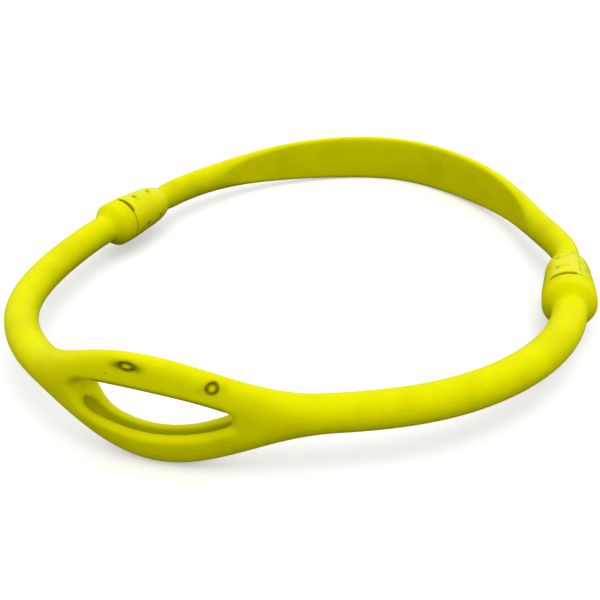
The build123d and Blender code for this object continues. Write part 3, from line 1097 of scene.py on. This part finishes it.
@dataclass
class Studs:
    """The release stud in the strap's bulb and the anchor stud in the neck band's end."""

    place: CouplerPlace
    ball_radius: float = 2.6
    ball_centre: float = 9.4
    stem_radius: float = 1.6
    collar_radius: float = 4.5
    collar_thickness: float = 1.5
    flange_radius: float = 4.7
    flange_start: float = 13.8
    flange_end: float = 15.8
    neck_radius: float = 2.2
    band_start: float = 18.4
    release_root: float = 1.9
    release_barb: float = 3.0
    anchor_root: float = 1.7
    anchor_barb: float = 2.5

    def release(self) -> bpy.types.Object:
        """Ball-headed stud."""
        collar = -self.collar_thickness
        points = [(0.0, collar - BARBS * BARB_PITCH)]
        points += barbed_root(collar, -1.0, self.release_root, self.release_barb)
        points += [(self.release_root, collar), (self.collar_radius, collar), (self.collar_radius, 0.0)]
        points += [(self.stem_radius, 0.0)]
        neck = math.asin(self.stem_radius / self.ball_radius)
        for angle in np.linspace(math.pi - neck, 0.0, 22):
            along = self.ball_centre + self.ball_radius * math.cos(angle)
            points.append((self.ball_radius * math.sin(angle), along))
        points[-1] = (0.0, self.ball_centre + self.ball_radius)
        return Turned(self.place, f"{self.place.side.word}_ball_stud", tuple(points)).build()

    def anchor(self) -> bpy.types.Object:
        """Flanged stud that keeps the barrel on the neck band."""
        points = [(0.0, self.flange_start), (self.flange_radius, self.flange_start)]
        points += [(self.flange_radius, self.flange_end), (self.neck_radius, self.flange_end)]
        points += [(self.neck_radius, self.band_start), (self.anchor_root, self.band_start)]
        points += reversed(barbed_root(self.band_start, 1.0, self.anchor_root, self.anchor_barb))
        points += [(0.0, self.band_start + BARBS * BARB_PITCH)]
        return Turned(self.place, f"{self.place.side.word}_flanged_stud", tuple(points)).build()


@dataclass
class RetainingRing:
    """Elastomer ring that grips the ball head."""

    place: CouplerPlace
    along: float = 7.0
    major: float = 3.4
    minor: float = 1.2
    around: int = 72
    section: int = 28

    def build(self) -> bpy.types.Object:
        """Closed torus."""
        points = []
        for turn in np.arange(self.around) * 2 * math.pi / self.around:
            for angle in np.arange(self.section) * 2 * math.pi / self.section:
                radius = self.major + self.minor * math.cos(angle)
                points.append([radius * math.cos(turn), radius * math.sin(turn),
                               self.along + self.minor * math.sin(angle)])
        faces = []
        for i in range(self.around):
            for j in range(self.section):
                a, b = i * self.section, (i + 1) % self.around * self.section
                k = (j + 1) % self.section
                faces.append([a + j, b + j, b + k, a + k])
        return make_object(f"{self.place.side.word}_grip_ring", self.place.place(np.array(points)), faces)


# ------------------------------------------------------------------ finishes


class Shader(NodeBuilder):
    """Short hand for building a material or a shader group."""

    def mix(self, factor: object, first: object, second: object) -> bpy.types.NodeSocket:
        """Mix two colours."""
        return self.add("ShaderNodeMix", {0: factor, 6: first, 7: second}, data_type="RGBA").outputs[2]

    def between(self, value: object, low: float, high: float, to_low: float = 0.0, to_high: float = 1.0
                ) -> bpy.types.NodeSocket:
        """Map a value's range with a smooth step."""
        return self.add("ShaderNodeMapRange", {0: value, 1: low, 2: high, 3: to_low, 4: to_high},
                        interpolation_type="SMOOTHSTEP").outputs[0]


def moulded_surface() -> bpy.types.NodeTree:
    """Shader group: cloudy colour, painted shade, dust specks, frosting and handling scuffs of a moulded
    part.
    """
    tree = bpy.data.node_groups.new("moulded_surface", "ShaderNodeTree")
    for name, kind, value in (
        ("Colour", "NodeSocketColor", (0.8, 0.8, 0.0, 1.0)),
        ("Cloud Colour", "NodeSocketColor", (0.6, 0.6, 0.0, 1.0)),
        # the next two inputs carry the painted shade: its darker colour and how much of it
        ("Deep Colour", "NodeSocketColor", (0.2, 0.2, 0.0, 1.0)),
        ("Shade", "NodeSocketFloat", 0.0),
        ("Speck Colour", "NodeSocketColor", (0.1, 0.1, 0.0, 1.0)),
        ("Cloud Scale", "NodeSocketFloat", 60.0),
        ("Cloud Amount", "NodeSocketFloat", 0.3),
        ("Speck Scale", "NodeSocketFloat", 140.0),
        ("Speck Size", "NodeSocketFloat", 0.05),
        ("Roughness", "NodeSocketFloat", 0.4),
        ("Scuff Amount", "NodeSocketFloat", 0.15),
        ("Scuff Scale", "NodeSocketFloat", 420.0),
        ("Frost Scale", "NodeSocketFloat", 1800.0),
        ("Frost Height", "NodeSocketFloat", 0.00002),
        ("Ripple Scale", "NodeSocketFloat", 130.0),
        ("Ripple Share", "NodeSocketFloat", 6.0),
    ):
        input_socket(tree, name, kind, value)
    for name, kind in (("Colour", "NodeSocketColor"), ("Roughness", "NodeSocketFloat"),
                       ("Normal", "NodeSocketVector")):
        tree.interface.new_socket(name, in_out="OUTPUT", socket_type=kind)
    nodes = Shader(tree)
    group = tree.nodes.new("NodeGroupInput").outputs
    output = tree.nodes.new("NodeGroupOutput")
    place = nodes.add("ShaderNodeTexCoord").outputs["Object"]
    cloud = nodes.add("ShaderNodeTexNoise", {"Vector": place, "Scale": group["Cloud Scale"], "Detail": 5.0,
                                             "Roughness": 0.6}).outputs[0]
    cloudy = nodes.math("MULTIPLY", nodes.between(cloud, 0.4, 0.72), group["Cloud Amount"])
    colour = nodes.mix(cloudy, group["Colour"], group["Cloud Colour"])
    # painted shade: mix towards a darker colour by the mesh's painted shade value
    colour = nodes.mix(group["Shade"], colour, group["Deep Colour"])
    dust = nodes.add("ShaderNodeTexVoronoi", {"Vector": place, "Scale": group["Speck Scale"]})
    chosen = nodes.add("ShaderNodeSeparateColor", {0: dust.outputs["Color"]}).outputs[0]
    size = nodes.math("MULTIPLY", nodes.between(chosen, 0.72, 1.0), group["Speck Size"])
    speck = nodes.math("LESS_THAN", dust.outputs["Distance"], size)
    colour = nodes.mix(nodes.math("MULTIPLY", speck, 0.75), colour, group["Speck Colour"])
    scuff = nodes.add("ShaderNodeTexNoise", {
        "Vector": place, "Scale": group["Scuff Scale"], "Detail": 3.0}).outputs[0]
    rough = nodes.math("MULTIPLY_ADD", nodes.between(scuff, 0.35, 0.7), group["Scuff Amount"],
                       group["Roughness"], clamp=True)
    frost = nodes.add("ShaderNodeTexNoise", {"Vector": place, "Scale": group["Frost Scale"], "Detail": 2.0})
    ripple = nodes.add("ShaderNodeTexNoise", {
        "Vector": place, "Scale": group["Ripple Scale"], "Detail": 1.0}).outputs[0]
    height = nodes.math("ADD", frost.outputs[0], nodes.math("MULTIPLY", ripple, group["Ripple Share"]))
    bump = nodes.add("ShaderNodeBump", {
        "Strength": 0.5, "Distance": group["Frost Height"], "Height": height})
    tree.links.new(colour, output.inputs["Colour"])
    tree.links.new(rough, output.inputs["Roughness"])
    tree.links.new(bump.outputs[0], output.inputs["Normal"])
    return tree


@dataclass(frozen=True)
class Finish:
    """A moulded finish: what the shared surface group and the shader are set to."""

    name: str
    colour: tuple[float, float, float]
    cloud: tuple[float, float, float]
    cloud_scale: float
    cloud_amount: float
    roughness: float
    scuff: float
    frost_height: float
    speck_size: float
    subsurface: float
    subsurface_reach: float
    transmission: float
    ior: float
    coat: float
    specular: float

    def build(self, surface: bpy.types.NodeTree) -> bpy.types.Material:
        """Make the material.

        Args:
            surface: The shared moulded-surface group.

        Returns:
            The new material.
        """
        material = bpy.data.materials.new(self.name)
        material.use_nodes = True
        nodes = Shader(material.node_tree)
        shader = material.node_tree.nodes["Principled BSDF"]
        group = nodes.add("ShaderNodeGroup", node_tree=surface)
        # the mesh's painted shade value
        shade = nodes.add("ShaderNodeAttribute", attribute_name="shade")
        material.node_tree.links.new(shade.outputs["Fac"], group.inputs["Shade"])
        settings = {
            "Colour": (*self.colour, 1.0),
            "Cloud Colour": (*self.cloud, 1.0),
            # darker colour of the painted shade
            "Deep Colour": (self.cloud[0] * 0.22, self.cloud[1] * 0.22, 0.0, 1.0),
            "Speck Colour": (self.cloud[0] * 0.12, self.cloud[1] * 0.12, 0.0, 1.0),
            "Cloud Scale": self.cloud_scale,
            "Cloud Amount": self.cloud_amount,
            "Speck Size": self.speck_size,
            "Roughness": self.roughness,
            "Scuff Amount": self.scuff,
            "Frost Height": self.frost_height,
        }
        for key, value in settings.items():
            group.inputs[key].default_value = value
        links = material.node_tree.links
        links.new(group.outputs["Colour"], shader.inputs["Base Color"])
        links.new(group.outputs["Roughness"], shader.inputs["Roughness"])
        links.new(group.outputs["Normal"], shader.inputs["Normal"])
        shader.inputs["Subsurface Weight"].default_value = self.subsurface
        shader.inputs["Subsurface Radius"].default_value = (1.0, 0.95, 0.04)
        shader.inputs["Subsurface Scale"].default_value = self.subsurface_reach
        shader.inputs["Transmission Weight"].default_value = self.transmission
        shader.inputs["IOR"].default_value = self.ior
        shader.inputs["Specular Tint"].default_value = (1.0, 0.98, 0.05, 1.0)
        shader.inputs["Specular IOR Level"].default_value = self.specular
        shader.inputs["Coat Weight"].default_value = self.coat
        shader.inputs["Coat Roughness"].default_value = 0.18
        return material


SILICONE = Finish(
    name="frosted_silicone",
    colour=(0.8, 0.79, 0.0),
    cloud=(0.56, 0.55, 0.0),
    cloud_scale=55.0,
    cloud_amount=0.35,
    roughness=0.42,
    scuff=0.16,
    frost_height=0.00003,
    speck_size=0.055,
    subsurface=0.8,
    subsurface_reach=0.0011,
    transmission=0.0,
    ior=1.41,
    coat=0.0,
    specular=0.08,
)
SHELL = Finish(
    name="moulded_shell",
    colour=(0.82, 0.81, 0.0),
    cloud=(0.62, 0.61, 0.0),
    cloud_scale=120.0,
    cloud_amount=0.25,
    roughness=0.25,
    scuff=0.12,
    frost_height=0.00001,
    speck_size=0.03,
    subsurface=0.55,
    subsurface_reach=0.0009,
    transmission=0.0,
    ior=1.5,
    coat=0.0,
    specular=0.22,
)
STUD = Finish(
    name="moulded_stud",
    colour=(0.7, 0.7, 0.12),
    cloud=(0.55, 0.55, 0.08),
    cloud_scale=200.0,
    cloud_amount=0.2,
    roughness=0.35,
    scuff=0.12,
    frost_height=0.00001,
    speck_size=0.0,
    subsurface=0.3,
    subsurface_reach=0.002,
    transmission=0.0,
    ior=1.5,
    coat=0.0,
    specular=0.4,
)
GRIP_RUBBER = Finish(
    name="grip_rubber",
    colour=(0.035, 0.035, 0.035),
    cloud=(0.02, 0.02, 0.02),
    cloud_scale=300.0,
    cloud_amount=0.4,
    roughness=0.55,
    scuff=0.2,
    frost_height=0.00002,
    speck_size=0.0,
    subsurface=0.0,
    subsurface_reach=0.001,
    transmission=0.0,
    ior=1.5,
    coat=0.0,
    specular=0.4,
)


# ------------------------------------------------------------------ floor, light and camera


@dataclass(frozen=True)
class SoftLight:
    """A square area light that faces the ring."""

    name: str
    place: tuple[float, float, float]
    size: float
    power: float

    def build(self) -> None:
        """Hang the light in the scene."""
        data = bpy.data.lights.new(self.name, "AREA")
        data.size = self.size
        data.energy = self.power
        light = bpy.data.objects.new(self.name, data)
        light.location = self.place
        light.rotation_euler = (-Vector(self.place)).to_track_quat("-Z", "Y").to_euler()
        bpy.context.scene.collection.objects.link(light)


@dataclass
class Studio:
    """Pale floor, soft lights and the camera."""

    target: tuple[float, float, float] = (0.00485, -0.0253, 0.01115)
    azimuth: float = 27.0
    elevation: float = 31.16
    roll: float = -3.73
    distance: float = 0.2922
    lens: float = 54.0
    floor_size: float = 6.0
    floor_seen: float = 0.95
    floor_bounce: float = 0.05
    floor_glow: float = 0.25
    surround: float = 0.86
    soft_lights: tuple = (
        SoftLight("overhead_softbox", (0.25, 0.1, 0.9), 0.9, 2.6),
        SoftLight("front_fill", (0.5, -0.8, 0.5), 0.8, 0.8),
    )

    def floor(self, height: float) -> None:
        """A wide floor under the part: pale to the camera, dark to the part's undersides."""
        half = self.floor_size / 2
        corners = np.array([[-half, -half, height], [half, -half, height], [half, half, height],
                            [-half, half, height]])
        floor = make_object("studio_floor", corners, [(0, 1, 2, 3)])
        material = bpy.data.materials.new("studio_floor")
        material.use_nodes = True
        nodes = Shader(material.node_tree)
        seen = nodes.add("ShaderNodeLightPath").outputs["Is Camera Ray"]
        shader = material.node_tree.nodes["Principled BSDF"]
        bounce = (self.floor_bounce,) * 3 + (1.0,)
        plain = (self.floor_seen,) * 3 + (1.0,)
        tone = nodes.mix(seen, bounce, plain)
        glow = nodes.mix(seen, (0.0, 0.0, 0.0, 1.0), (1.0, 1.0, 1.0, 1.0))
        material.node_tree.links.new(tone, shader.inputs["Base Color"])
        material.node_tree.links.new(glow, shader.inputs["Emission Color"])
        shader.inputs["Emission Strength"].default_value = self.floor_glow
        shader.inputs["Roughness"].default_value = 0.9
        shader.inputs["Specular IOR Level"].default_value = 0.1
        floor.data.materials.append(material)
        floor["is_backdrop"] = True

    def lights(self) -> None:
        """Wide overhead softbox, a weak fill and a pale surround."""
        for light in self.soft_lights:
            light.build()
        world = bpy.data.worlds.new("studio_surround")
        world.use_nodes = True
        world.node_tree.nodes["Background"].inputs[0].default_value = (1.0, 1.0, 1.0, 1.0)
        world.node_tree.nodes["Background"].inputs[1].default_value = self.surround
        bpy.context.scene.world = world

    def camera(self) -> None:
        """Camera at the viewing angle, slightly rolled."""
        azimuth, elevation, roll = (math.radians(a) for a in (self.azimuth, self.elevation, self.roll))
        back = Vector((math.sin(azimuth) * math.cos(elevation), -math.cos(azimuth) * math.cos(elevation),
                       math.sin(elevation)))
        right = Vector((math.cos(azimuth), math.sin(azimuth), 0.0))
        up = back.cross(right)
        across = right * math.cos(roll) + up * math.sin(roll)
        upright = back.cross(across)
        data = bpy.data.cameras.new("camera")
        data.lens = self.lens
        data.sensor_width = 36.0
        data.clip_start = 0.01
        camera = bpy.data.objects.new("camera", data)
        turn = Matrix((across, upright, back)).transposed().to_4x4()
        camera.matrix_world = Matrix.Translation(Vector(self.target) + back * self.distance) @ turn
        bpy.context.scene.collection.objects.link(camera)
        bpy.context.scene.camera = camera


# ------------------------------------------------------------------ assembly


@dataclass
class Necklace:
    """The whole ring: builds every piece, dresses it and ties it to its body and node."""

    frame: dict
    materials: dict

    def fit(self, piece: bpy.types.Object, body: str, node: str, slot: Slot) -> None:
        """Dress a piece, ride it on its body and let it stand for its node."""
        piece.data.materials.clear()
        piece.data.materials.append(self.materials[slot])
        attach(piece, body)
        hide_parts(node)
        LOG.info("%s: %d faces", piece.name, len(piece.data.polygons))

    def build(self) -> None:
        """Build both straps and both couplers."""
        ring = Ring(self.frame)
        self.fit(FrontStrap(ring).build(), "front_strap", "front_strap", Slot.SILICONE)
        band = NeckBand(ring, self.materials[Slot.SILICONE])
        self.fit(band.build(), "neck_band", "neck_band", Slot.SILICONE)
        for side in Side:
            place = ring.couplers[side]
            body = f"{side.word}_coupler"
            for half, piece in Shells(place, self.materials[Slot.SHELL]).build().items():
                self.fit(piece, body, f"{side.word}_coupler_{half}_shell", Slot.SHELL)
            studs = Studs(place)
            self.fit(studs.release(), "front_strap", f"{side.word}_release_stud", Slot.STUD)
            self.fit(studs.anchor(), "neck_band", f"{side.word}_anchor_stud", Slot.STUD)
            grip = RetainingRing(place).build()
            self.fit(grip, body, f"{side.word}_retaining_ring", Slot.RING)


def corners(box: Sequence) -> list[list[float]]:
    """A box as plain lists."""
    return [[float(value) for value in corner] for corner in box]


def main() -> None:
    """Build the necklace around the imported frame, then the studio."""
    logging.basicConfig(level=logging.INFO, format="%(name)s: %(message)s")
    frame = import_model()
    cad_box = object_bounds()
    surface = moulded_surface()
    finishes = {Slot.SILICONE: SILICONE, Slot.SHELL: SHELL, Slot.STUD: STUD, Slot.RING: GRIP_RUBBER}
    materials = {slot: finish.build(surface) for slot, finish in finishes.items()}
    Necklace(frame, materials).build()
    studio = Studio()
    studio.floor(float(cad_box[0][2]))
    studio.lights()
    studio.camera()
    bpy.context.scene.view_settings.view_transform = "Standard"


if __name__ == "__main__":
    main()
